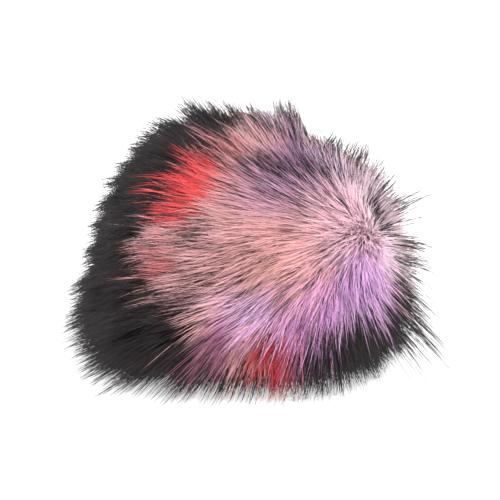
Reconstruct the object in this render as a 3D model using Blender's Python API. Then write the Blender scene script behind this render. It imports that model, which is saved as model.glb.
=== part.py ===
"""Fluffy faux-fur pom pom: a dome of long pile on a gathered ball of fur fabric.

One closed solid. A dense, lumpy heart of fur carries three-sided locks that taper to a
point. All locks are combed away from a whorl on the front right of the dome, droop a
little towards their tips and spread along the floor round a small flat spot.

Metres, +Z up. The origin is on the floor under the middle of the dome. The front is -Y.
"""

import math
import random

import bmesh
import bpy
from mathutils import Vector, noise

# Overall sizes over the tips of the fur.
WIDTH = 0.130
DEPTH = 0.126
HEIGHT = 0.096

# The level at which the ball is widest without its skirt. Below it the fur curves in.
WIDEST_LEVEL = 0.024

# Reach of the dense heart of the fur and of its tips from the middle of that level.
HEART = {"side": 0.043, "front": 0.041, "up": 0.050, "down": WIDEST_LEVEL}
TIPS = {"side": 0.056, "front": 0.056, "up": HEIGHT - WIDEST_LEVEL, "down": WIDEST_LEVEL}

# Tips whose direction falls by more than this lie on the floor, and locks whose root
# does have their full length, so that the pom pom rests level on a ring of tips.
FLOOR_PILE = {"from": 0.38, "to": 0.48, "full_length": 0.45}

# How square the sides are in a vertical section: 2 is an ellipse.
UPPER_SQUARENESS = 2.15
HEART_LOWER_SQUARENESS = 2.0
TIPS_LOWER_SQUARENESS = 7.0

# The pile parts at the whorl and is combed away from there, more so further off, by a
# share of the ball's reach. At the whorl itself it leans over to the left.
WHORL = Vector((0.76, -0.62, 0.50)).normalized()
COMB = 0.62
COMB_EASE = 0.75
LEAN = Vector((-0.36, 0.0, 0.06))
LEAN_SPREAD = 0.60
DROOP = 0.12

# Under the dome the pile lies along the floor and spreads out by this share.
FLOOR_SPREAD = 0.35

# An icosphere of this level has 320 faces. The 20 round its lowest point are the flat
# spot, and each of the other 300 carries one lock.
ICOSPHERE_LEVEL = 3
FLAT_SPOT_ANGLE = math.radians(38)
FLAT_SPOT_RIM = 0.0012

# Locks. A ring's place is its share of the way from root to tip, and its width is its
# share of the face that the lock stands on.
LOCK_RINGS = (
    {"place": 0.00, "width": 0.80},
    {"place": 0.28, "width": 0.62},
    {"place": 0.54, "width": 0.42},
    {"place": 0.78, "width": 0.22},
)
LONGEST_LOCK = 1.0
SHORTEST_LOCK = 0.74

# Unevenness of the heart and of where the locks stand.
LUMP_HEIGHT = 0.07
LUMP_PITCH = 2.4
ROOT_SCATTER = 0.055
SEED = 11

# The pile spreads into a skirt just above the floor: the level of its middle in the
# direction's rise, how far it spreads, and what it adds to the reach of the tips.
SKIRT = {"level": -0.28, "spread": 0.26, "gain": 0.10}

# Larger tufts and hollows of the outline: where they are, how wide, and what they add to
# the reach of the tips there.
TUFTS = (
    {"name": "crown", "toward": (0.02, 0.1, 1.0), "spread": 0.28, "gain": -0.24},
    {"name": "crest", "toward": (0.26, 0.0, 1.0), "spread": 0.20, "gain": 0.12},
    {"name": "notch", "toward": (-0.24, 0.0, 1.0), "spread": 0.16, "gain": -0.12},
    {"name": "left_shoulder", "toward": (-0.75, 0.0, 0.65), "spread": 0.60, "gain": -0.08},
    {"name": "right_shoulder", "toward": (0.50, 0.0, 0.85), "spread": 0.20, "gain": -0.10},
    {"name": "right_side", "toward": (0.96, 0.0, 0.26), "spread": 0.42, "gain": 0.30},
    {"name": "right_skirt", "toward": (0.84, -0.50, -0.24), "spread": 0.42, "gain": 0.20},
    {"name": "left_skirt", "toward": (-0.80, -0.65, -0.25), "spread": 0.40, "gain": 0.06},
    {"name": "front_right", "toward": (0.52, -0.84, -0.26), "spread": 0.42, "gain": 0.27},
    {"name": "whorl_side", "toward": (0.80, -0.50, 0.30), "spread": 0.50, "gain": 0.14},
)

FUR_COLOUR = (0.62, 0.34, 0.40, 1.0)
FUR_ROUGHNESS = 0.85


def smooth_step(value, low, high):
    """0 at low, 1 at high and smooth between."""
    share = min(1.0, max(0.0, (value - low) / (high - low)))
    return share * share * (3 - 2 * share)


def reach(toward, sizes, lower_squareness):
    """How far a rounded dome of these sizes reaches in a direction from its middle."""
    level = math.hypot(toward.x / sizes["side"], toward.y / sizes["front"])
    rise = sizes["up"] if toward.z > 0 else sizes["down"]
    squareness = UPPER_SQUARENESS if toward.z > 0 else lower_squareness
    total = level**squareness + abs(toward.z / rise) ** squareness
    return total ** (-1 / squareness)


def heart_reach(toward):
    """Reach of the dense heart, with soft lumps that fade out over the floor."""
    lump = noise.noise(toward * LUMP_PITCH) * LUMP_HEIGHT
    above_floor = smooth_step(toward.z, -0.7, -0.2)
    return reach(toward, HEART, HEART_LOWER_SQUARENESS) * (1 + lump * above_floor)


def tip_reach(toward):
    """Reach of the tips of the fur, with the skirt and the larger tufts and hollows."""
    below = (toward.z - SKIRT["level"]) / SKIRT["spread"]
    gain = SKIRT["gain"] * math.exp(-(below**2))
    for tuft in TUFTS:
        apart = (toward - Vector(tuft["toward"]).normalized()).length
        gain += tuft["gain"] * math.exp(-((apart / tuft["spread"]) ** 2))
    above_floor = smooth_step(toward.z, -0.55, -0.30)
    out = reach(toward, TIPS, TIPS_LOWER_SQUARENESS) * (1 + gain * above_floor)
    if toward.z < 0:
        floor = WIDEST_LEVEL / -toward.z
        along_floor = smooth_step(-toward.z, FLOOR_PILE["from"], FLOOR_PILE["to"])
        out = min(out, floor)
        out += (floor - out) * along_floor
    return out


def along_lock(root, share):
    """The point that lies this share of the way from root to tip along the combed pile."""
    off_floor = smooth_step(root.z, -0.85, 0.20)
    away = root - WHORL
    far = away.length
    flow = away * (COMB / (far + COMB_EASE)) + LEAN * math.exp(-((far / LEAN_SPREAD) ** 2))
    combed = root + flow * (off_floor * share)
    combed.z *= 1 - FLOOR_SPREAD * share * (1 - off_floor)
    combed.z -= DROOP * share * share * off_floor
    combed.normalize()
    out = heart_reach(combed) * (1 - share) + tip_reach(combed) * share
    point = combed * out
    point.z += WIDEST_LEVEL
    return point


def sphere_of_roots(mesh, rng):
    """Fills the mesh with an icosphere whose points are scattered a little, apart from the
    points of its flat spot. Returns the faces of that spot, and those that get a lock."""
    bmesh.ops.create_icosphere(mesh, subdivisions=ICOSPHERE_LEVEL, radius=1.0)
    lowest = math.cos(FLAT_SPOT_ANGLE)
    flat = {vert for vert in mesh.verts if -vert.co.normalized().z > lowest}
    for vert in mesh.verts:
        shift = Vector([rng.uniform(-ROOT_SCATTER, ROOT_SCATTER) for _ in range(3)])
        if vert not in flat:
            vert.co = (vert.co + shift).normalized()
    spot_faces = [face for face in mesh.faces if all(vert in flat for vert in face.verts)]
    lock_faces = [face for face in mesh.faces if not all(vert in flat for vert in face.verts)]
    return spot_faces, lock_faces


def press_flat_spot(mesh, faces):
    """Presses the lowest faces of the heart down on the floor, inside a narrow rim."""
    bmesh.ops.inset_region(mesh, faces=faces, thickness=FLAT_SPOT_RIM, use_even_offset=True)
    for vert in {vert for face in faces for vert in face.verts}:
        vert.co.z = 0.0


def ring_point(middle, corner, ring, length):
    """A corner of one ring of the lock that stands round this middle."""
    narrowed = middle.lerp(corner, ring["width"]).normalized()
    return along_lock(narrowed, ring["place"] * length)


def grow_lock(mesh, face, corners, length):
    """Replaces a face by a lock that starts a little inside its edges and ends in a point."""
    middle = sum(corners, Vector()).normalized()
    below = list(face.verts)
    mesh.faces.remove(face)
    for ring in LOCK_RINGS:
        above = [mesh.verts.new(ring_point(middle, corner, ring, length)) for corner in corners]
        for side in range(3):
            following = (side + 1) % 3
            wall = (below[side], below[following], above[following], above[side])
            mesh.faces.new(wall)
        below = above
    tip = mesh.verts.new(along_lock(middle, length))
    for side in range(3):
        mesh.faces.new((below[side], below[(side + 1) % 3], tip))


def set_overall_sizes(mesh):
    """Scales the ball to its overall sizes over the tips and centres it over the origin."""
    for axis, size in ((0, WIDTH), (1, DEPTH), (2, HEIGHT)):
        places = [vert.co[axis] for vert in mesh.verts]
        low, high = min(places), max(places)
        start = 0.0 if axis == 2 else -size / 2
        for vert in mesh.verts:
            vert.co[axis] = start + (vert.co[axis] - low) * size / (high - low)


def fur_material():
    material = bpy.data.materials.new("dyed_fur")
    material.use_nodes = True
    shader = material.node_tree.nodes["Principled BSDF"]
    shader.inputs["Base Color"].default_value = FUR_COLOUR
    shader.inputs["Roughness"].default_value = FUR_ROUGHNESS
    shader.inputs["Metallic"].default_value = 0.0
    return material


def make_fur_ball():
    """The whole pom pom: the heart with its flat spot, and its 300 locks."""
    rng = random.Random(SEED)
    mesh = bmesh.new()
    spot_faces, lock_faces = sphere_of_roots(mesh, rng)
    lock_corners = [[vert.co.copy() for vert in face.verts] for face in lock_faces]
    for vert in mesh.verts:
        toward = vert.co.normalized()
        vert.co = toward * heart_reach(toward)
        vert.co.z += WIDEST_LEVEL
    press_flat_spot(mesh, spot_faces)
    for face, corners in zip(lock_faces, lock_corners):
        length = rng.uniform(SHORTEST_LOCK, LONGEST_LOCK)
        if sum(corner.z for corner in corners) / 3 < -FLOOR_PILE["full_length"]:
            length = LONGEST_LOCK
        grow_lock(mesh, face, corners, length)
    set_overall_sizes(mesh)
    bmesh.ops.triangulate(mesh, faces=mesh.faces)
    bmesh.ops.recalc_face_normals(mesh, faces=mesh.faces)
    data = bpy.data.meshes.new("fur_ball")
    mesh.to_mesh(data)
    mesh.free()
    ball = bpy.data.objects.new("fur_ball", data)
    ball.data.materials.append(fur_material())
    bpy.context.scene.collection.objects.link(ball)
    return ball


def clear_scene():
    for old in list(bpy.data.objects):
        bpy.data.objects.remove(old, do_unlink=True)


clear_scene()
make_fur_ball()
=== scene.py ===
"""Looks of a fluffy faux-fur pom pom: a gathered ball of fur fabric with long dyed pile.

A backing ball carries three kinds of hair. The underfur is short and pale, and fills the
ball. The guard hairs are longer, gather into tufts and end in dark tips. A few stray hairs
lie across them. All follow one combed flow that parts at a whorl on the front right.
"""

import math

import bmesh
import bpy
import numpy as np
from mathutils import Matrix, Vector


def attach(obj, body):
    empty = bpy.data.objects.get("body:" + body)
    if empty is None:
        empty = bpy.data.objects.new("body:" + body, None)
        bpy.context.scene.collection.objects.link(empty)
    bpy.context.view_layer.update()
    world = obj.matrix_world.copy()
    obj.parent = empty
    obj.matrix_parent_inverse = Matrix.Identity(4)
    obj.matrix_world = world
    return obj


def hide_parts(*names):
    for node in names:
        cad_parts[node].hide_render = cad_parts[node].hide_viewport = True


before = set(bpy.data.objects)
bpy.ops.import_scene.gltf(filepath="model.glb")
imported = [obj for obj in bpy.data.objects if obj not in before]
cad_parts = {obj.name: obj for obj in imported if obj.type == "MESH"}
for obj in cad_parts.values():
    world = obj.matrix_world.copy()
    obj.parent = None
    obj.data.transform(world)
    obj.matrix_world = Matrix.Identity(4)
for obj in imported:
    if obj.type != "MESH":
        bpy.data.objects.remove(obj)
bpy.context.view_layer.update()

# Shape of the dome, as in the solid, with more tufts and hollows for its fine hair. Sizes
# are in metres.
WIDEST_LEVEL = 0.024
HEART = {"side": 0.043, "front": 0.041, "up": 0.050, "down": WIDEST_LEVEL}
TIPS = {"side": 0.056, "front": 0.056, "up": 0.072, "down": WIDEST_LEVEL}
UPPER_SQUARENESS = 2.15
HEART_LOWER_SQUARENESS = 2.0
TIPS_LOWER_SQUARENESS = 7.0
SKIRT = {"level": -0.28, "spread": 0.26, "gain": 0.10}
TUFTS = (
    {"name": "crown", "toward": (0.02, 0.1, 1.0), "spread": 0.28, "gain": -0.24},
    {"name": "crest", "toward": (0.26, 0.0, 1.0), "spread": 0.20, "gain": 0.20},
    {"name": "notch", "toward": (-0.24, 0.0, 1.0), "spread": 0.16, "gain": -0.12},
    {"name": "left_shoulder", "toward": (-0.75, 0.0, 0.65), "spread": 0.60, "gain": -0.10},
    {"name": "right_shoulder", "toward": (0.50, 0.0, 0.85), "spread": 0.22, "gain": -0.18},
    {"name": "right_side", "toward": (0.96, 0.0, 0.26), "spread": 0.38, "gain": 0.34},
    {"name": "right_skirt", "toward": (0.84, -0.50, -0.24), "spread": 0.34, "gain": 0.12},
    {"name": "left_skirt", "toward": (-0.80, -0.65, -0.25), "spread": 0.40, "gain": 0.10},
    {"name": "front_right", "toward": (0.62, -0.74, -0.26), "spread": 0.44, "gain": 0.44},
    {"name": "front_left", "toward": (-0.42, -0.85, -0.30), "spread": 0.34, "gain": 0.24},
    {"name": "whorl_side", "toward": (0.80, -0.50, 0.30), "spread": 0.50, "gain": 0.14},
    {"name": "thick_top", "toward": (0.12, 0.0, 1.0), "spread": 0.50, "gain": -0.12},
)
# All tufts together add no more than this to the reach of the tips.
MOST_GAIN = 0.50

FLOOR_PILE = {"from": 0.38, "to": 0.48}
STRETCH = Vector((0.993, 1.022, 1.0625))
SHIFT = Vector((-0.0055, 0.0027, 0.0))

# Flow of the pile. It parts at the whorl and is combed away from there, more so further
# off, by a share of the ball's reach. At the whorl itself it leans over to the left, and
# low on the front it is swept up and to the left.
WHORL = Vector((0.76, -0.62, 0.50)).normalized()
COMB = 0.62
COMB_EASE = 0.75
LEAN = Vector((-0.36, 0.0, 0.06))
LEAN_SPREAD = 0.60
SWEEP = {"toward": Vector((-0.20, -0.94, 0.15)).normalized(), "spread": 0.52}
SWEEP_PUSH = Vector((-0.16, 0.0, 0.20))
ROOT_SHARE = -0.25
DROOP = 0.12
FLOOR_SPREAD = 0.35
BACKING_SHARE = 0.92

# Where the pile parts, it is shorter, because the backing bulges towards its tips.
PARTED = {"toward": Vector((0.78, -0.56, 0.42)).normalized(), "spread": 0.34, "bulge": 0.42}


def smooth_step(value, low, high):
    """0 at low, 1 at high and smooth between."""
    share = min(1.0, max(0.0, (value - low) / (high - low)))
    return share * share * (3 - 2 * share)


def reach(toward, sizes, lower_squareness):
    """How far a rounded dome of these sizes reaches in a direction from its middle."""
    level = math.hypot(toward.x / sizes["side"], toward.y / sizes["front"])
    rise = sizes["up"] if toward.z > 0 else sizes["down"]
    squareness = UPPER_SQUARENESS if toward.z > 0 else lower_squareness
    total = level**squareness + abs(toward.z / rise) ** squareness
    return total ** (-1 / squareness)


def backing_reach(toward):
    """Reach of the backing fabric, which is drawn up round the filling."""
    parted = math.exp(-(((toward - PARTED["toward"]).length / PARTED["spread"]) ** 2))
    share = BACKING_SHARE * (1 + PARTED["bulge"] * parted)
    return share * reach(toward, HEART, HEART_LOWER_SQUARENESS)


def tip_reach(toward):
    """Reach of the tips of the fur, with the skirt and the larger tufts and hollows."""
    below = (toward.z - SKIRT["level"]) / SKIRT["spread"]
    gain = SKIRT["gain"] * math.exp(-(below**2))
    for tuft in TUFTS:
        apart = (toward - Vector(tuft["toward"]).normalized()).length
        gain += tuft["gain"] * math.exp(-((apart / tuft["spread"]) ** 2))
    above_floor = smooth_step(toward.z, -0.55, -0.30)
    gain = min(gain, MOST_GAIN)
    out = reach(toward, TIPS, TIPS_LOWER_SQUARENESS) * (1 + gain * above_floor)
    if toward.z < 0:
        floor = WIDEST_LEVEL / -toward.z
        along_floor = smooth_step(-toward.z, FLOOR_PILE["from"], FLOOR_PILE["to"])
        out = min(out, floor)
        out += (floor - out) * along_floor
    return out


def along_hair(root, share):
    """The point that lies this share of the way from root to tip along the combed pile."""
    off_floor = smooth_step(root.z, -0.85, 0.20)
    away = root - WHORL
    far = away.length
    flow = away * (COMB / (far + COMB_EASE)) + LEAN * math.exp(-((far / LEAN_SPREAD) ** 2))
    swept = (root - SWEEP["toward"]).length / SWEEP["spread"]
    flow += SWEEP_PUSH * math.exp(-(swept**2))
    combed = root + flow * (off_floor * (share + ROOT_SHARE * (1 - share)))
    combed.z *= 1 - FLOOR_SPREAD * share * (1 - off_floor)
    combed.z -= DROOP * share * share * off_floor
    combed.normalize()
    out = backing_reach(combed) * (1 - share) + tip_reach(combed) * share
    point = combed * out
    point.z += WIDEST_LEVEL
    return point * STRETCH + SHIFT


def linear(red, green, blue):
    """A colour given as a dyer's 0 to 255 values, as linear light."""
    def channel(value):
        value /= 255
        return value / 12.92 if value <= 0.04045 else ((value + 0.055) / 1.055) ** 2.4

    return (channel(red), channel(green), channel(blue), 1.0)


class Bench:
    """Lays nodes out in a tree, wires them and hands back their outputs."""

    def __init__(self, tree):
        self.tree = tree
        self.source = None

    def node(self, kind, values=None, **settings):
        made = self.tree.nodes.new(kind)
        for name, value in settings.items():
            setattr(made, name, value)
        for key, value in (values or {}).items():
            self.feed(made.inputs[key], value)
        return made

    def feed(self, socket, value):
        if isinstance(value, bpy.types.NodeSocket):
            self.tree.links.new(value, socket)
        else:
            socket.default_value = value

    def given(self, name):
        """An input of the tree itself."""
        if self.source is None:
            self.source = self.tree.nodes.new("NodeGroupInput")
        return self.source.outputs[name]

    def sum(self, operation, *values):
        keyed = dict(enumerate(values))
        return self.node("ShaderNodeMath", keyed, operation=operation).outputs[0]

    def vector(self, operation, *values):
        keyed = dict(enumerate(values))
        return self.node("ShaderNodeVectorMath", keyed, operation=operation).outputs[0]

    def scale(self, vector, amount):
        made = self.node("ShaderNodeVectorMath", {0: vector, "Scale": amount}, operation="SCALE")
        return made.outputs[0]

    def length(self, vector):
        made = self.node("ShaderNodeVectorMath", {0: vector}, operation="LENGTH")
        return made.outputs["Value"]

    def between(self, value, low, high, start=0.0, end=1.0):
        """Smoothly from start, where the value is low, to end, where it is high."""
        values = {"Value": value, "From Min": low, "From Max": high, "To Min": start, "To Max": end}
        made = self.node("ShaderNodeMapRange", values, interpolation_type="SMOOTHSTEP")
        return made.outputs["Result"]


def new_tree(name, kind, inputs, outputs):
    """A node group with named inputs, each with its starting value, and named outputs."""
    tree = bpy.data.node_groups.new(name, kind)
    for label, socket_kind, value in inputs:
        socket = tree.interface.new_socket(name=label, in_out="INPUT", socket_type=socket_kind)
        if value is not None:
            socket.default_value = value
    for label, socket_kind in outputs:
        tree.interface.new_socket(name=label, in_out="OUTPUT", socket_type=socket_kind)
    return tree


def hand_out(bench, values):
    """Wires values to the tree's own outputs."""
    sink = bench.tree.nodes.new("NodeGroupOutput")
    for name, value in values.items():
        bench.feed(sink.inputs[name], value)


# Backing ball and the guides of the pile that its points carry.
BACKING_LEVEL = 5

# Places where the pile is unruly: the whorl, and the matted pile below it.
UNRULY = (
    {"toward": Vector((0.62, -0.66, 0.42)).normalized(), "spread": 0.45, "extra": 0.3},
    {"toward": Vector((0.50, -0.82, 0.10)).normalized(), "spread": 0.34, "extra": 1.2},
)


def unruliness(root):
    """How far hairs stray here, against the neat pile."""
    extra = 0.0
    for row in UNRULY:
        extra += row["extra"] * math.exp(-(((root - row["toward"]).length / row["spread"]) ** 2))
    return 1 + extra


# How much closer the roots stand where the pile parts, so that it stays full.
PARTED_EXTRA = 3.0

# The middle of the front, where the pile stands evenly and its underfur is full, and the
# pile near the floor, which stands nearly as full.
EVEN = {"toward": Vector((0.42, -0.83, 0.36)).normalized(), "inner": 0.40, "outer": 1.00}
LOW_PILE = {"full_below": -0.40, "until": 0.15, "evenness": 0.95}


def evenness(root):
    """1 where the pile stands evenly, and 0 where it gathers into pointed tufts."""
    front = 1 - smooth_step((root - EVEN["toward"]).length, EVEN["inner"], EVEN["outer"])
    low = 1 - smooth_step(root.z, LOW_PILE["full_below"], LOW_PILE["until"])
    return max(front, low * LOW_PILE["evenness"])


def pile_thickness(root):
    """How thickly the pile stands: thin underneath, and thick where it parts."""
    above = 0.25 + 0.75 * smooth_step(root.z, -0.95, -0.65)
    parted = math.exp(-(((root - PARTED["toward"]).length / PARTED["spread"]) ** 2))
    return above * (1 + PARTED_EXTRA * parted)


def backing_ball():
    """A mesh of the backing fabric. Each point carries the middle and the tip of the hair
    that would grow there, how thickly the pile stands and how unruly it is."""
    ball = bmesh.new()
    bmesh.ops.create_icosphere(ball, subdivisions=BACKING_LEVEL, radius=1.0)
    roots = [vert.co.normalized() for vert in ball.verts]
    for vert, root in zip(ball.verts, roots):
        vert.co = along_hair(root, 0.0)
    mesh = bpy.data.meshes.new("fur_backing")
    ball.to_mesh(mesh)
    ball.free()
    for name, share in (("middle", 0.5), ("tip", 1.0)):
        guide = mesh.attributes.new(name, "FLOAT_VECTOR", "POINT")
        places = np.array([along_hair(root, share)[:] for root in roots], dtype=np.float32)
        guide.data.foreach_set("vector", places.ravel())
    thickness = mesh.attributes.new("thickness", "FLOAT", "POINT")
    thickness.data.foreach_set("value", [pile_thickness(root) for root in roots])
    unruly = mesh.attributes.new("unruly", "FLOAT", "POINT")
    unruly.data.foreach_set("value", [unruliness(root) for root in roots])
    even = mesh.attributes.new("even", "FLOAT", "POINT")
    even.data.foreach_set("value", [evenness(root) for root in roots])
    return mesh


# One hair, as a closed three-sided strand along +Z that tapers from root to tip. Rows are
# its rings: share of the way from root to tip, and share of the hair's width.
HAIR_SIDES = 3
GUARD_RINGS = (
    {"share": 0.00, "width": 0.90},
    {"share": 0.42, "width": 1.00},
    {"share": 0.76, "width": 0.85},
)
UNDERFUR_RINGS = (
    {"share": 0.00, "width": 1.00},
    {"share": 0.55, "width": 0.85},
)


def hair_template(name, rings):
    """A strand whose points say how far along the hair they are and on which side of it,
    and whose map runs across the strand in u and along it in v."""
    turn = 2 * math.pi / HAIR_SIDES
    points = []
    for ring in rings:
        for side in range(HAIR_SIDES):
            across = ring["width"] * math.cos(side * turn), ring["width"] * math.sin(side * turn)
            points.append((*across, ring["share"]))
    points.append((0.0, 0.0, 1.0))
    tip = len(points) - 1
    faces = [tuple(reversed(range(HAIR_SIDES)))]
    for row in range(len(rings) - 1):
        for side in range(HAIR_SIDES):
            following = (side + 1) % HAIR_SIDES
            low, high = row * HAIR_SIDES, (row + 1) * HAIR_SIDES
            faces.append((low + side, low + following, high + following, high + side))
    last = (len(rings) - 1) * HAIR_SIDES
    for side in range(HAIR_SIDES):
        faces.append((last + side, last + (side + 1) % HAIR_SIDES, tip))
    mesh = bpy.data.meshes.new(name)
    mesh.from_pydata(points, [], faces)
    place = mesh.attributes.new("strand_place", "FLOAT_VECTOR", "POINT")
    place.data.foreach_set("vector", np.array(points, dtype=np.float32).ravel())
    bake_map = mesh.uv_layers.new(name="OFBake")
    across_face = {3: (0.0, 1.0, 0.5), 4: (0.0, 1.0, 1.0, 0.0)}
    for face in mesh.polygons:
        for corner, across in zip(face.loop_indices, across_face[face.loop_total]):
            share = points[mesh.loops[corner].vertex_index][2]
            bake_map.data[corner].uv = (across, share)
    template = bpy.data.objects.new(name, mesh)
    bpy.context.scene.collection.objects.link(template)
    template.hide_render = True
    return template


def place_on_hair_group():
    """Node group: the place at a share of the way along a hair, from its root, middle and
    tip, on the parabola through all three."""
    vector = "NodeSocketVector"
    inputs = [("Root", vector, None), ("Middle", vector, None), ("Tip", vector, None)]
    inputs.append(("Share", "NodeSocketFloat", 0.0))
    tree = new_tree("place_on_hair", "GeometryNodeTree", inputs, [("Place", vector)])
    bench = Bench(tree)
    share = bench.given("Share")
    rest = bench.sum("SUBTRACT", 1.0, share)
    half = bench.sum("SUBTRACT", 1.0, bench.sum("MULTIPLY", share, 2.0))
    weights = {
        "Root": bench.sum("MULTIPLY", rest, half),
        "Middle": bench.sum("MULTIPLY", bench.sum("MULTIPLY", share, rest), 4.0),
        "Tip": bench.sum("MULTIPLY", share, bench.sum("MULTIPLY", half, -1.0)),
    }
    parts = [bench.scale(bench.given(name), weight) for name, weight in weights.items()]
    place = bench.vector("ADD", bench.vector("ADD", parts[0], parts[1]), parts[2])
    hand_out(bench, {"Place": place})
    return tree


# No hair reaches further than this share of the way to the tips of the pile.
LONGEST_HAIR = 1.14

# Small tufts gather the hairs round them, and larger locks gather both. Rows are the tree's
# input for how strongly, and how much of a hair's straying all hairs of a tuft share.
GATHERINGS = (
    {"name": "tuft", "pull": "Gathering", "sway": 0.5},
    {"name": "lock", "pull": "Lock gathering", "sway": 0.7},
)
TUFT_SEED = 71
LOCK_SEED = 72

# Hairs stray by this power of the share of the way along them.
STRAY_POWER = 1.5

# How far hairs next to each other differ in their wave, and their least height.
WAVE_OFFSET = 0.004
FLOOR_CLEARANCE = 0.0001

# A hair takes its dye from the place this share of the way along the pile.
DYE_SHOWS_AT = 0.72

# How much of its own cell of the map a hair uses, and where that starts.
CELL_ACROSS = {"used": 0.8, "start": 0.1}
CELL_ALONG = {"used": 0.9, "start": 0.05}


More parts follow.
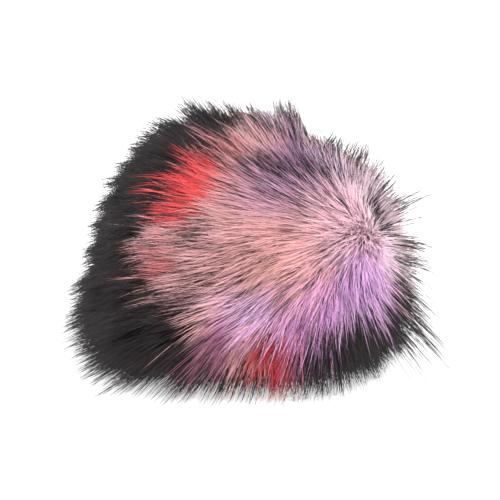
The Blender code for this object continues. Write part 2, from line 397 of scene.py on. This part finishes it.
def pile_tree(place_on_hair):
    """Geometry Nodes: grows hair all over a backing ball and gathers it into tufts."""
    number = "NodeSocketFloat"
    inputs = [
        ("Backing", "NodeSocketGeometry", None),
        ("Hair", "NodeSocketObject", None),
        ("Fur", "NodeSocketMaterial", None),
        ("Hairs per m2", number, 1000.0),
        ("Tufts per m2", number, 100.0),
        ("Locks per m2", number, 100.0),
        ("Seed", "NodeSocketInt", 0),
        ("Shortest", number, 0.8),
        ("Longest", number, 1.0),
        ("Shortness", number, 1.0),
        ("Width", number, 0.0003),
        ("Scatter", number, 0.003),
        ("Gathering", number, 0.6),
        ("Lock gathering", number, 0.3),
        ("Tuft luck", number, 0.05),
        ("Lock luck", number, 0.05),
        ("Even length", number, 0.0),
        ("Even gathering", number, 0.5),
        ("Even thinning", number, 0.0),
        ("Wave", number, 0.001),
        ("Wave pitch", number, 100.0),
        ("Map columns", number, 128.0),
        ("Map rows", number, 100.0),
    ]
    tree = new_tree("fur_pile", "GeometryNodeTree", inputs, [("Fur", "NodeSocketGeometry")])
    bench = Bench(tree)

    def named(name, kind="FLOAT_VECTOR"):
        values = {"Name": name}
        return bench.node("GeometryNodeInputNamedAttribute", values, data_type=kind).outputs[0]

    def store(geometry, name, value, kind="FLOAT_VECTOR", domain="POINT"):
        values = {"Geometry": geometry, "Name": name, "Value": value}
        settings = {"data_type": kind, "domain": domain}
        return bench.node("GeometryNodeStoreNamedAttribute", values, **settings).outputs[0]

    def scattered(density, seed):
        values = {"Mesh": bench.given("Backing"), "Density": density, "Seed": seed}
        made = bench.node("GeometryNodeDistributePointsOnFaces", values)
        return made.outputs["Points"]

    def random_share(seed):
        values = {2: 0.0, 3: 1.0, "Seed": seed}
        return bench.node("FunctionNodeRandomValue", values, data_type="FLOAT").outputs[1]

    def random_vector(seed):
        values = {0: (-1.0, -1.0, -1.0), 1: (1.0, 1.0, 1.0), "Seed": seed}
        return bench.node("FunctionNodeRandomValue", values, data_type="FLOAT_VECTOR").outputs[0]

    def on_hair(root, middle, tip, share):
        values = {"Root": root, "Middle": middle, "Tip": tip, "Share": share}
        made = bench.node("GeometryNodeGroup")
        made.node_tree = place_on_hair
        for name, value in values.items():
            bench.feed(made.inputs[name], value)
        return made.outputs["Place"]

    seed = bench.given("Seed")
    position = bench.node("GeometryNodeInputPosition").outputs[0]
    index = bench.node("GeometryNodeInputIndex").outputs[0]

    # The roots of the hairs, tufts and locks.
    thinned = bench.sum("MULTIPLY", named("even", "FLOAT"), bench.given("Even thinning"))
    kept = bench.sum("SUBTRACT", 1.0, thinned)
    kept = bench.sum("MULTIPLY", named("thickness", "FLOAT"), kept)
    hair_density = bench.sum("MULTIPLY", bench.given("Hairs per m2"), kept)
    hairs = scattered(hair_density, seed)
    tufts = scattered(bench.given("Tufts per m2"), TUFT_SEED)
    locks = scattered(bench.given("Locks per m2"), LOCK_SEED)

    def from_nearest(gatherers, value):
        values = {"Geometry": gatherers, "Sample Position": position}
        near = bench.node("GeometryNodeSampleNearest", values, domain="POINT").outputs["Index"]
        values = {"Geometry": gatherers, "Value": value, "Index": near}
        settings = {"data_type": "FLOAT_VECTOR", "domain": "POINT"}
        return bench.node("GeometryNodeSampleIndex", values, **settings).outputs[0]

    hairs = store(hairs, "root", position)
    for name, gatherers in (("tuft", tufts), ("lock", locks)):
        hairs = store(hairs, name + "_root", from_nearest(gatherers, position))
        hairs = store(hairs, name + "_middle", from_nearest(gatherers, named("middle")))
        hairs = store(hairs, name + "_tip", from_nearest(gatherers, named("tip")))
        hairs = store(hairs, name + "_luck", from_nearest(gatherers, random_vector(3)))
    hairs = store(hairs, "luck", random_vector(bench.sum("ADD", seed, 7.0)))
    hairs = store(hairs, "tone", random_share(bench.sum("ADD", seed, 9.0)), "FLOAT")
    hairs = store(hairs, "own_length", random_share(bench.sum("ADD", seed, 11.0)), "FLOAT")
    hairs = store(hairs, "hair_number", index, "FLOAT")

    template = bench.node("GeometryNodeObjectInfo", {"Object": bench.given("Hair")})
    values = {"Points": hairs, "Instance": template.outputs["Geometry"]}
    hairs = bench.node("GeometryNodeInstanceOnPoints", values).outputs[0]
    hairs = bench.node("GeometryNodeRealizeInstances", {"Geometry": hairs}).outputs[0]

    # Where each point of each hair goes.
    local = bench.node("ShaderNodeSeparateXYZ", {0: named("strand_place")}).outputs
    share = local[2]
    tuft_luck = bench.node("ShaderNodeSeparateXYZ", {0: named("tuft_luck")}).outputs
    lock_luck = bench.node("ShaderNodeSeparateXYZ", {0: named("lock_luck")}).outputs
    spread = bench.sum("SUBTRACT", bench.given("Longest"), bench.given("Shortest"))
    own = bench.sum("POWER", named("own_length", "FLOAT"), bench.given("Shortness"))
    own = bench.sum("MULTIPLY", own, spread)
    length = bench.sum("ADD", bench.given("Shortest"), own)
    for luck, size in ((tuft_luck, "Tuft luck"), (lock_luck, "Lock luck")):
        length = bench.sum("ADD", length, bench.sum("MULTIPLY", luck[0], bench.given(size)))
    fuller = bench.sum("MULTIPLY", named("even", "FLOAT"), bench.given("Even length"))
    length = bench.sum("MINIMUM", bench.sum("ADD", length, fuller), LONGEST_HAIR)
    apart = bench.sum("MULTIPLY", named("even", "FLOAT"), bench.given("Even gathering"))
    loose = bench.sum("SUBTRACT", 1.0, apart)
    along = bench.sum("MULTIPLY", share, length)
    place = on_hair(named("root"), named("middle"), named("tip"), along)
    stray = bench.sum("POWER", share, STRAY_POWER)
    stray = bench.sum("MULTIPLY", stray, bench.given("Scatter"))
    stray = bench.sum("MULTIPLY", stray, named("unruly", "FLOAT"))
    for row in GATHERINGS:
        ends = [named(row["name"] + part) for part in ("_root", "_middle", "_tip")]
        gathered = on_hair(*ends, along)
        strength = bench.sum("MULTIPLY", share, bench.given(row["pull"]))
        strength = bench.sum("MULTIPLY", strength, loose)
        toward = bench.scale(bench.vector("SUBTRACT", gathered, place), strength)
        place = bench.vector("ADD", place, toward)
        sway = bench.sum("MULTIPLY", stray, row["sway"])
        place = bench.vector("ADD", place, bench.scale(named(row["name"] + "_luck"), sway))
    place = bench.vector("ADD", place, bench.scale(named("luck"), stray))
    wave_place = bench.vector("ADD", bench.scale(named("luck"), WAVE_OFFSET), place)
    wave = bench.node(
        "ShaderNodeTexNoise",
        {"Vector": wave_place, "Scale": bench.given("Wave pitch"), "Detail": 1.0},
    ).outputs["Color"]
    wave = bench.vector("SUBTRACT", wave, (0.5, 0.5, 0.5))
    wave_size = bench.sum("MULTIPLY", bench.given("Wave"), share)
    wave_size = bench.sum("MULTIPLY", wave_size, named("unruly", "FLOAT"))
    place = bench.vector("ADD", place, bench.scale(wave, wave_size))

    # The pile that reaches the floor lies along it.
    parts = bench.node("ShaderNodeSeparateXYZ", {0: place}).outputs
    floor = bench.sum("ADD", bench.given("Width"), FLOOR_CLEARANCE)
    values = {0: parts[0], 1: parts[1], 2: bench.sum("MAXIMUM", parts[2], floor)}
    place = bench.node("ShaderNodeCombineXYZ", values).outputs[0]

    # The three sides of a hair stand round it.
    direction = bench.vector("SUBTRACT", named("tip"), named("root"))
    across = bench.vector("NORMALIZE", bench.vector("CROSS_PRODUCT", direction, named("luck")))
    beside = bench.vector("NORMALIZE", bench.vector("CROSS_PRODUCT", direction, across))
    radius = bench.sum("MULTIPLY", bench.given("Width"), 0.5)
    side = bench.vector("ADD", bench.scale(across, local[0]), bench.scale(beside, local[1]))
    place = bench.vector("ADD", place, bench.scale(side, radius))
    values = {"Geometry": hairs, "Position": place}
    hairs = bench.node("GeometryNodeSetPosition", values).outputs[0]

    # What the fur's material reads: how far along the hair, and where on the ball it shows.
    hairs = store(hairs, "share", share, "FLOAT")
    shown = on_hair(named("root"), named("middle"), named("tip"), DYE_SHOWS_AT)
    hairs = store(hairs, "dye_place", shown)

    # Each hair has a cell of its own on the map.
    number_of = named("hair_number", "FLOAT")
    columns, rows = bench.given("Map columns"), bench.given("Map rows")
    column = bench.sum("MODULO", number_of, columns)
    row = bench.sum("FLOOR", bench.sum("DIVIDE", number_of, columns))
    on_map = bench.node("ShaderNodeSeparateXYZ", {0: named("OFBake")}).outputs

    def in_cell(share_of_hair, cell):
        used = bench.sum("MULTIPLY", share_of_hair, cell["used"])
        return bench.sum("ADD", used, cell["start"])

    across_cell = in_cell(on_map[0], CELL_ACROSS)
    along_cell = in_cell(on_map[1], CELL_ALONG)
    u = bench.sum("DIVIDE", bench.sum("ADD", column, across_cell), columns)
    v = bench.sum("DIVIDE", bench.sum("ADD", row, along_cell), rows)
    uv = bench.node("ShaderNodeCombineXYZ", {0: u, 1: v}).outputs[0]
    hairs = store(hairs, "OFBake", uv, "FLOAT2", "CORNER")
    hairs = bench.node("GeometryNodeSetShadeSmooth", {"Geometry": hairs}).outputs[0]
    values = {"Geometry": hairs, "Material": bench.given("Fur")}
    hairs = bench.node("GeometryNodeSetMaterial", values).outputs[0]
    hand_out(bench, {"Fur": hairs})
    return tree


# What a finished pile keeps: the values that its material reads, its map and its mesh.
KEPT_ATTRIBUTES = (
    "share", "tone", "dye_place", "OFBake", "position", "material_index", "sharp_face",
)


def grow_pile(name, backing, tree, values):
    """A plain mesh of hair, grown on the backing by the tree with these values."""
    pile = bpy.data.objects.new(name, backing)
    bpy.context.scene.collection.objects.link(pile)
    growth = pile.modifiers.new("pile", "NODES")
    growth.node_group = tree
    for socket in tree.interface.items_tree:
        if socket.item_type == "SOCKET" and socket.in_out == "INPUT" and socket.name in values:
            growth[socket.identifier] = values[socket.name]
    bpy.context.view_layer.update()
    evaluated = pile.evaluated_get(bpy.context.evaluated_depsgraph_get())
    mesh = bpy.data.meshes.new_from_object(evaluated)
    pile.modifiers.clear()
    pile.data = mesh
    mesh.name = name
    for layer in [layer.name for layer in mesh.attributes]:
        if layer not in KEPT_ATTRIBUTES and not layer.startswith("."):
            mesh.attributes.remove(mesh.attributes[layer])
    return pile


# Dyes, each a soft round patch: its centre in millimetres in the object's own frame, how
# far it reaches, how soft its edge is, and how strong the dye is.
GROUND = linear(226, 172, 174)
DYES = (
    {"at": (10, -48, 47), "size": 26, "soft": 0.9, "strength": 0.8, "colour": linear(255, 192, 188)},
    {"at": (35, -38, 54), "size": 30, "soft": 0.9, "strength": 0.9, "colour": linear(246, 210, 224)},
    {"at": (-24, -30, 72), "size": 15, "soft": 0.5, "strength": 1.0, "colour": linear(246, 62, 66)},
    {"at": (-30, -32, 64), "size": 12, "soft": 0.5, "strength": 0.9, "colour": linear(244, 74, 78)},
    {"at": (-13, -24, 80), "size": 9, "soft": 0.6, "strength": 0.9, "colour": linear(200, 50, 60)},
    {"at": (-36, -36, 45), "size": 9, "soft": 0.7, "strength": 0.8, "colour": linear(206, 84, 90)},
    {"at": (6, -34, 72), "size": 18, "soft": 0.9, "strength": 0.8, "colour": linear(220, 168, 206)},
    {"at": (18, -26, 76), "size": 24, "soft": 0.9, "strength": 0.7, "colour": linear(206, 158, 200)},
    {"at": (19, -20, 80), "size": 12, "soft": 0.7, "strength": 0.8, "colour": linear(170, 122, 180)},
    {"at": (-1, -53, 29), "size": 17, "soft": 0.7, "strength": 0.95, "colour": linear(255, 214, 255)},
    {"at": (20, -55, 28), "size": 18, "soft": 0.8, "strength": 0.9, "colour": linear(238, 170, 242)},
    {"at": (38, -46, 36), "size": 21, "soft": 0.7, "strength": 0.95, "colour": linear(230, 182, 236)},
    {"at": (-11, -53, 18), "size": 12, "soft": 0.7, "strength": 0.9, "colour": linear(176, 94, 140)},
    {"at": (-19, -51, 12), "size": 13, "soft": 0.6, "strength": 0.9, "colour": linear(140, 72, 106)},
    {"at": (7, -60, 11), "size": 13, "soft": 0.4, "strength": 1.0, "colour": linear(190, 10, 28)},
    {"at": (19, -58, 16), "size": 9, "soft": 0.8, "strength": 0.8, "colour": linear(160, 64, 104)},
    {"at": (52, -26, 46), "size": 22, "soft": 0.8, "strength": 0.9, "colour": linear(224, 210, 218)},
    {"at": (44, -18, 62), "size": 24, "soft": 0.8, "strength": 0.8, "colour": linear(236, 216, 230)},
    {"at": (30, -12, 74), "size": 20, "soft": 0.8, "strength": 0.8, "colour": linear(232, 210, 230)},
    {"at": (8, 8, 84), "size": 26, "soft": 0.8, "strength": 0.7, "colour": linear(230, 210, 232)},
    {"at": (-10, 50, 44), "size": 26, "soft": 0.8, "strength": 0.7, "colour": linear(204, 140, 204)},
    {"at": (34, 42, 30), "size": 20, "soft": 0.7, "strength": 0.8, "colour": linear(214, 76, 90)},
)

# The fur is black wherever none of these pale patches reaches. Same columns.
BLACK = linear(14, 12, 14)
WORN_BLACK = linear(46, 36, 38)
# Painted light: near white that pales the roots of the hairs, to lift the shade deep in the pile.
ROOT_FILL_LIGHT = linear(250, 232, 234)
PALES = (
    {"at": (4, -42, 56), "size": 52, "soft": 0.30, "strength": 1.0},
    {"at": (46, -24, 50), "size": 36, "soft": 0.40, "strength": 1.0},
    {"at": (36, -14, 68), "size": 28, "soft": 0.45, "strength": 1.0},
    {"at": (12, 4, 84), "size": 30, "soft": 0.40, "strength": 1.0},
    {"at": (4, 20, 79), "size": 20, "soft": 0.50, "strength": 1.0},
    {"at": (-40, -32, 46), "size": 11, "soft": 0.60, "strength": 0.8},
    {"at": (40, -42, 36), "size": 26, "soft": 0.45, "strength": 1.0},
    {"at": (18, -53, 28), "size": 22, "soft": 0.50, "strength": 1.0},
    {"at": (-4, -53, 24), "size": 21, "soft": 0.50, "strength": 1.0},
    {"at": (-18, -51, 13), "size": 13, "soft": 0.60, "strength": 0.75},
    {"at": (6, -60, 12), "size": 14, "soft": 0.40, "strength": 1.0},
    {"at": (-10, 50, 44), "size": 30, "soft": 0.50, "strength": 1.0},
    {"at": (34, 42, 30), "size": 22, "soft": 0.50, "strength": 1.0},
)

# Black that comes over the pale patches. Same columns.
BLACKS = (
    {"at": (29, -61, 12), "size": 14, "soft": 0.5, "strength": 1.0},
    {"at": (40, -54, 15), "size": 15, "soft": 0.5, "strength": 1.0},
    {"at": (50, -42, 18), "size": 15, "soft": 0.5, "strength": 1.0},
    {"at": (56, -30, 25), "size": 15, "soft": 0.5, "strength": 1.0},
    {"at": (-24, -11, 81), "size": 11, "soft": 0.5, "strength": 1.0},
)

# Streaks in the pale patches where most hairs have a dark maroon tip. Same columns.
MAROON = linear(38, 20, 24)
STREAKS = (
    {"at": (-20, -42, 57), "size": 8, "soft": 0.6, "strength": 0.7},
    {"at": (-21, -47, 38), "size": 11, "soft": 0.6, "strength": 0.6},
    {"at": (-24, -46, 33), "size": 9, "soft": 0.6, "strength": 0.7},
    {"at": (-24, -47, 26), "size": 9, "soft": 0.6, "strength": 0.6},
    {"at": (-14, -27, 79), "size": 6, "soft": 0.6, "strength": 1.0},
    {"at": (0, -27, 79), "size": 8, "soft": 0.6, "strength": 1.0},
    {"at": (4, -34, 71), "size": 7, "soft": 0.6, "strength": 0.8},
    {"at": (13, -17, 82), "size": 8, "soft": 0.6, "strength": 0.6},
    {"at": (10, -29, 77), "size": 8, "soft": 0.6, "strength": 1.0},
    {"at": (20, -27, 75), "size": 9, "soft": 0.6, "strength": 1.0},
    {"at": (17, -37, 66), "size": 6, "soft": 0.6, "strength": 0.8},
    {"at": (20, -9, 79), "size": 9, "soft": 0.6, "strength": 0.6},
    {"at": (31, -15, 74), "size": 9, "soft": 0.6, "strength": 1.0},
    {"at": (45, -23, 62), "size": 9, "soft": 0.6, "strength": 1.0},
    {"at": (50, -27, 55), "size": 8, "soft": 0.6, "strength": 1.0},
    {"at": (54, -32, 44), "size": 8, "soft": 0.6, "strength": 1.0},
)

# How much further down a hair its dark tip starts in a streak.
STREAK_LENGTH = 0.22

# Raggedness of the edges of the patches, and the groups of dark tips: how many fit in a
# metre, and the levels of the noise between which they start.
RAGGED_PITCH = 150.0
RAGGEDNESS = 0.014
DARK_GROUPS = {"pitch": 130.0, "low": 0.44, "high": 0.58}

# The front of the dome, where few hairs have a dark tip.
CALM = {"at": (10, -42, 46), "size": 56, "soft": 0.4, "strength": 1.0}


def soft_patch_group():
    """Node group: 1 in the middle of a soft round patch and 0 outside it."""
    number = "NodeSocketFloat"
    inputs = [
        ("Place", "NodeSocketVector", None),
        ("Centre", "NodeSocketVector", None),
        ("Size", number, 0.01),
        ("Softness", number, 0.5),
        ("Strength", number, 1.0),
    ]
    tree = new_tree("soft_patch", "ShaderNodeTree", inputs, [("Mask", number)])
    bench = Bench(tree)
    apart = bench.length(bench.vector("SUBTRACT", bench.given("Place"), bench.given("Centre")))
    apart = bench.sum("DIVIDE", apart, bench.given("Size"))
    inner = bench.sum("SUBTRACT", 1.0, bench.given("Softness"))
    mask = bench.between(apart, inner, 1.0, 1.0, 0.0)
    hand_out(bench, {"Mask": bench.sum("MULTIPLY", mask, bench.given("Strength"))})
    return tree


def fur_dyes_group(soft_patch):
    """Node group: the dye of a hair, how far down it is black, how calm its tip is, and
    whether it is one of a group or streak of dark tips, from the place where it shows."""
    outputs = [("Dye", "NodeSocketColor"), ("Blackness", "NodeSocketFloat")]
    outputs += [("Calm", "NodeSocketFloat"), ("Group", "NodeSocketFloat")]
    outputs += [("Streak", "NodeSocketFloat")]
    inputs = [("Place", "NodeSocketVector", None), ("Raggedness", "NodeSocketFloat", 0.01)]
    tree = new_tree("fur_dyes", "ShaderNodeTree", inputs, outputs)
    bench = Bench(tree)
    place = bench.given("Place")
    values = {"Vector": place, "Scale": RAGGED_PITCH, "Detail": 2.0}
    ragged = bench.node("ShaderNodeTexNoise", values)
    ragged = bench.vector("SUBTRACT", ragged.outputs["Color"], (0.5, 0.5, 0.5))
    place = bench.vector("ADD", place, bench.scale(ragged, bench.given("Raggedness")))

    def patch(row):
        made = bench.node("ShaderNodeGroup")
        made.node_tree = soft_patch
        bench.feed(made.inputs["Place"], place)
        made.inputs["Centre"].default_value = [value / 1000 for value in row["at"]]
        made.inputs["Size"].default_value = row["size"] / 1000
        made.inputs["Softness"].default_value = row["soft"]
        made.inputs["Strength"].default_value = row["strength"]
        return made.outputs["Mask"]

    dye = GROUND
    for row in DYES:
        mixed = bench.node("ShaderNodeMix", {0: patch(row), 7: row["colour"]}, data_type="RGBA")
        bench.feed(mixed.inputs[6], dye)
        dye = mixed.outputs[2]
    pale = 0.0
    for row in PALES:
        pale = bench.sum("MAXIMUM", pale, patch(row))
    blackness = bench.sum("SUBTRACT", 1.0, pale)
    for row in BLACKS:
        blackness = bench.sum("MAXIMUM", blackness, patch(row))
    values = {"Vector": place, "Scale": DARK_GROUPS["pitch"], "Detail": 1.0}
    groups = bench.node("ShaderNodeTexNoise", values).outputs["Fac"]
    groups = bench.between(groups, DARK_GROUPS["low"], DARK_GROUPS["high"])
    streak = 0.0
    for row in STREAKS:
        streak = bench.sum("MAXIMUM", streak, patch(row))
    masks = {"Calm": patch(CALM), "Group": groups, "Streak": streak}
    hand_out(bench, {"Dye": dye, "Blackness": blackness, **masks})
    return tree


# The kinds of hair. A dark tip starts at this share of the hair's length. The share of
# hairs that have one is given for the calm front, apart from the groups of dark tips and
# in them, for the streaks, and for all the rest of the ball. Then come how much painted
# light pales the root, to lift the shade deep in the pile, the hair's range of lightness,
# and where it turns black in the black fur.
FINISHES = {
    "underfur": {"tip_from": 0.80, "apart": 0.0, "grouped": 0.0, "streaked": 1.0, "tipped": 0.3,
                 "root_fill_light": 0.6, "dullest": 0.96, "brightest": 1.04, "black_from": 0.10},
    "guard": {"tip_from": 0.52, "apart": 0.16, "grouped": 0.85, "streaked": 1.0, "tipped": 0.92,
              "root_fill_light": 0.5, "dullest": 0.90, "brightest": 1.05, "black_from": 0.05},
    "stray": {"tip_from": 0.10, "apart": 1.0, "grouped": 1.0, "streaked": 1.0, "tipped": 1.0,
              "root_fill_light": 0.0, "dullest": 0.90, "brightest": 1.05, "black_from": 0.05},
}


# Dark tips and black fur: over which share of the hair their start varies, and how softly
# they set in. Where nothing is black, the black would start beyond the tip.
TIP = {"varies": 0.16, "soft": 0.10}
BLACK_FUR = {"varies": 0.30, "soft": 0.12, "never": 1.15}

# Turns a hair's tone into a second one that has nothing to do with it.
TONE_SHUFFLE = 37.0

# Where a root, paled by painted light that lifts the shade deep in the pile, starts to
# take its dye, and where it has all of it.
ROOT_FILL_FADE = {"from": 0.25, "to": 0.75}


def fur_material(name, finish, fur_dyes):
    """Soft dyed hair that is lighter towards its tip, or dark there. Its root is paled by
    painted light that lifts the shade deep in the pile.
    """
    material = bpy.data.materials.new(name)
    material.use_nodes = True
    bench = Bench(material.node_tree)
    shader = material.node_tree.nodes["Principled BSDF"]

    def attribute(layer):
        return bench.node("ShaderNodeAttribute", attribute_name=layer).outputs

    share = attribute("share")["Fac"]
    tone = attribute("tone")["Fac"]
    dyes = bench.node("ShaderNodeGroup")
    dyes.node_tree = fur_dyes
    bench.feed(dyes.inputs["Place"], attribute("dye_place")["Vector"])
    dyes.inputs["Raggedness"].default_value = RAGGEDNESS
    lightness = bench.between(tone, 0.0, 1.0, finish["dullest"], finish["brightest"])
    fade = ROOT_FILL_FADE["from"], ROOT_FILL_FADE["to"]
    # Painted light: the root is mixed towards near white, which lifts the shade deep between the
    # hairs.
    painted_root_light = bench.between(share, *fade, finish["root_fill_light"], 0.0)
    values = {0: painted_root_light, 6: dyes.outputs["Dye"], 7: ROOT_FILL_LIGHT}
    dye = bench.node("ShaderNodeMix", values, data_type="RGBA").outputs[2]
    dye = bench.scale(dye, lightness)

    other_tone = bench.sum("FRACT", bench.sum("MULTIPLY", tone, TONE_SHUFFLE))
    few = bench.between(dyes.outputs["Group"], 0.0, 1.0, finish["apart"], finish["grouped"])
    tipped = bench.between(dyes.outputs["Calm"], 0.0, 1.0, finish["tipped"], few)
    streaked = bench.sum("MULTIPLY", dyes.outputs["Streak"], finish["streaked"])
    tipped = bench.sum("MAXIMUM", tipped, streaked)
    has_tip = bench.sum("LESS_THAN", other_tone, tipped)
    tip_from = bench.sum("MULTIPLY", tone, TIP["varies"])
    tip_from = bench.sum("ADD", tip_from, finish["tip_from"] - TIP["varies"] / 2)
    longer_tip = bench.sum("MULTIPLY", dyes.outputs["Streak"], STREAK_LENGTH)
    tip_from = bench.sum("SUBTRACT", tip_from, longer_tip)
    tip = bench.between(bench.sum("SUBTRACT", share, tip_from), -TIP["soft"], TIP["soft"])
    tip = bench.sum("MULTIPLY", tip, has_tip)
    blackness = dyes.outputs["Blackness"]
    black_from = bench.between(blackness, 0.0, 1.0, BLACK_FUR["never"], finish["black_from"])
    later = bench.sum("MULTIPLY", other_tone, BLACK_FUR["varies"])
    black_from = bench.sum("ADD", black_from, later)
    black = bench.sum("SUBTRACT", share, black_from)
    black = bench.between(black, -BLACK_FUR["soft"], BLACK_FUR["soft"])
    mixed = bench.node("ShaderNodeMix", {0: tip, 6: dye, 7: MAROON}, data_type="RGBA")
    values = {0: tone, 6: BLACK, 7: WORN_BLACK}
    black_dye = bench.node("ShaderNodeMix", values, data_type="RGBA").outputs[2]
    values = {0: black, 6: mixed.outputs[2], 7: black_dye}
    mixed = bench.node("ShaderNodeMix", values, data_type="RGBA")
    bench.feed(shader.inputs["Base Color"], mixed.outputs[2])
    shader.inputs["Roughness"].default_value = 0.5
    shader.inputs["Specular IOR Level"].default_value = 0.4
    return material


PILES = (
    {"name": "underfur_1", "hair": "underfur", "seed": 1},
    {"name": "underfur_2", "hair": "underfur", "seed": 2},
    {"name": "underfur_3", "hair": "underfur", "seed": 3},
    {"name": "guard_hair_1", "hair": "guard", "seed": 4},
    {"name": "guard_hair_2", "hair": "guard", "seed": 5},
    {"name": "stray_hair", "hair": "stray", "seed": 6},
)
GATHERERS = {"Tufts per m2": 72000.0, "Locks per m2": 19000.0}
UNDERFUR = {
    "Hairs per m2": 920000.0, "Shortest": 0.38, "Longest": 0.60, "Width": 0.00040,
    "Scatter": 0.0035, "Gathering": 0.20, "Lock gathering": 0.25, "Tuft luck": 0.04,
    "Lock luck": 0.05, "Even length": 0.28, "Even gathering": 1.0, "Wave": 0.002,
    "Wave pitch": 120.0, "Map columns": 144.0, "Map rows": 140.0,
}
GUARD = {
    "Hairs per m2": 640000.0, "Shortest": 0.58, "Longest": 1.05, "Shortness": 1.4,
    "Width": 0.00020, "Scatter": 0.0024, "Gathering": 0.55, "Lock gathering": 0.84, "Tuft luck": 0.06,
    "Lock luck": 0.16, "Even length": 0.08, "Even gathering": 0.80, "Even thinning": 0.35,
    "Wave": 0.002, "Wave pitch": 90.0, "Map columns": 128.0, "Map rows": 98.0,
}
STRAY = {
    "Hairs per m2": 16000.0, "Shortest": 0.70, "Longest": 0.92, "Width": 0.00020,
    "Scatter": 0.0060, "Gathering": 0.0, "Lock gathering": 0.0, "Tuft luck": 0.0,
    "Lock luck": 0.0, "Even length": 0.05, "Even gathering": 0.0, "Even thinning": 0.0,
    "Wave": 0.004, "Wave pitch": 60.0, "Map columns": 32.0, "Map rows": 32.0,
}


def make_fur():
    """The backing ball, and every pile of hair that grows on it."""
    backing = backing_ball()
    tree = pile_tree(place_on_hair_group())
    fur_dyes = fur_dyes_group(soft_patch_group())
    kinds = {
        "guard": {"hair": hair_template("guard_hair_template", GUARD_RINGS), "sizes": GUARD},
        "underfur": {"hair": hair_template("underfur_template", UNDERFUR_RINGS), "sizes": UNDERFUR},
        "stray": {"hair": hair_template("stray_hair_template", GUARD_RINGS), "sizes": STRAY},
    }
    for name, kind in kinds.items():
        kind["fur"] = fur_material(name + "_fur", FINISHES[name], fur_dyes)
    pieces = []
    for row in PILES:
        kind = kinds[row["hair"]]
        own = {"Seed": row["seed"], "Hair": kind["hair"], "Fur": kind["fur"]}
        values = {**kind["sizes"], **GATHERERS, **own}
        pieces.append(grow_pile(row["name"], backing, tree, values))
    for kind in kinds.values():
        bpy.data.objects.remove(kind["hair"], do_unlink=True)
    base = bpy.data.objects.new("fur_backing", backing)
    bpy.context.scene.collection.objects.link(base)
    return base, pieces


def backing_material():
    """The fabric under the pile, seen only as depth between hairs."""
    material = bpy.data.materials.new("backing_fabric")
    material.use_nodes = True
    bench = Bench(material.node_tree)
    shader = material.node_tree.nodes["Principled BSDF"]
    place = bench.node("ShaderNodeTexCoord").outputs["Object"]
    weave = bench.node("ShaderNodeTexNoise", {"Vector": place, "Scale": 900.0}).outputs["Fac"]
    values = {0: weave, 6: linear(206, 160, 168), 7: linear(236, 196, 202)}
    shade = bench.node("ShaderNodeMix", values, data_type="RGBA").outputs[2]
    bench.feed(shader.inputs["Base Color"], shade)
    shader.inputs["Roughness"].default_value = 0.9
    return material


# The studio.
PICTURE_WIDTH = 0.1733
CAMERA_DISTANCE = 0.90
CAMERA_RISE = math.radians(18)
CAMERA_TARGET = Vector((0.0008, 0.0, 0.0363))
SENSOR_WIDTH = 36.0


def add_camera():
    data = bpy.data.cameras.new("camera")
    data.sensor_width = SENSOR_WIDTH
    data.lens = SENSOR_WIDTH * CAMERA_DISTANCE / PICTURE_WIDTH
    data.clip_start = 0.05
    camera = bpy.data.objects.new("camera", data)
    away = Vector((0.0, -math.cos(CAMERA_RISE), math.sin(CAMERA_RISE)))
    camera.location = CAMERA_TARGET + away * CAMERA_DISTANCE
    camera.rotation_euler = (-away).to_track_quat("-Z", "Y").to_euler()
    bpy.context.scene.collection.objects.link(camera)
    bpy.context.scene.camera = camera


def add_softbox(name, place, size, power):
    data = bpy.data.lights.new(name, "AREA")
    data.size = size
    data.energy = power
    light = bpy.data.objects.new(name, data)
    light.location = place
    light.rotation_euler = (CAMERA_TARGET - Vector(place)).to_track_quat("-Z", "Y").to_euler()
    bpy.context.scene.collection.objects.link(light)


def add_floor():
    floor_mesh = bmesh.new()
    bmesh.ops.create_grid(floor_mesh, x_segments=1, y_segments=1, size=6.0)
    data = bpy.data.meshes.new("floor")
    floor_mesh.to_mesh(data)
    floor_mesh.free()
    floor = bpy.data.objects.new("floor", data)
    bpy.context.scene.collection.objects.link(floor)
    material = bpy.data.materials.new("pale_floor")
    material.use_nodes = True
    shader = material.node_tree.nodes["Principled BSDF"]
    shader.inputs["Base Color"].default_value = (0.9, 0.9, 0.9, 1.0)
    shader.inputs["Roughness"].default_value = 0.9
    shader.inputs["Emission Color"].default_value = (1.0, 1.0, 1.0, 1.0)
    shader.inputs["Emission Strength"].default_value = 0.6
    data.materials.append(material)


def add_studio():
    add_camera()
    add_floor()
    add_softbox("softbox_front_right", (0.5, -0.7, 0.8), 0.6, 9.0)
    add_softbox("softbox_left", (-0.8, -0.3, 0.7), 0.7, 5.0)
    add_softbox("softbox_front_low", (0.1, -1.1, 0.25), 0.8, 5.0)
    world = bpy.data.worlds.new("studio")
    bpy.context.scene.world = world
    world.use_nodes = True
    world.node_tree.nodes["Background"].inputs["Color"].default_value = (1.0, 1.0, 1.0, 1.0)
    world.node_tree.nodes["Background"].inputs["Strength"].default_value = 1.0
    bpy.context.scene.view_settings.view_transform = "Standard"


base, pieces = make_fur()
base.data.materials.append(backing_material())
for piece in [base, *pieces]:
    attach(piece, "root")
    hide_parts("fur_ball")
add_studio()
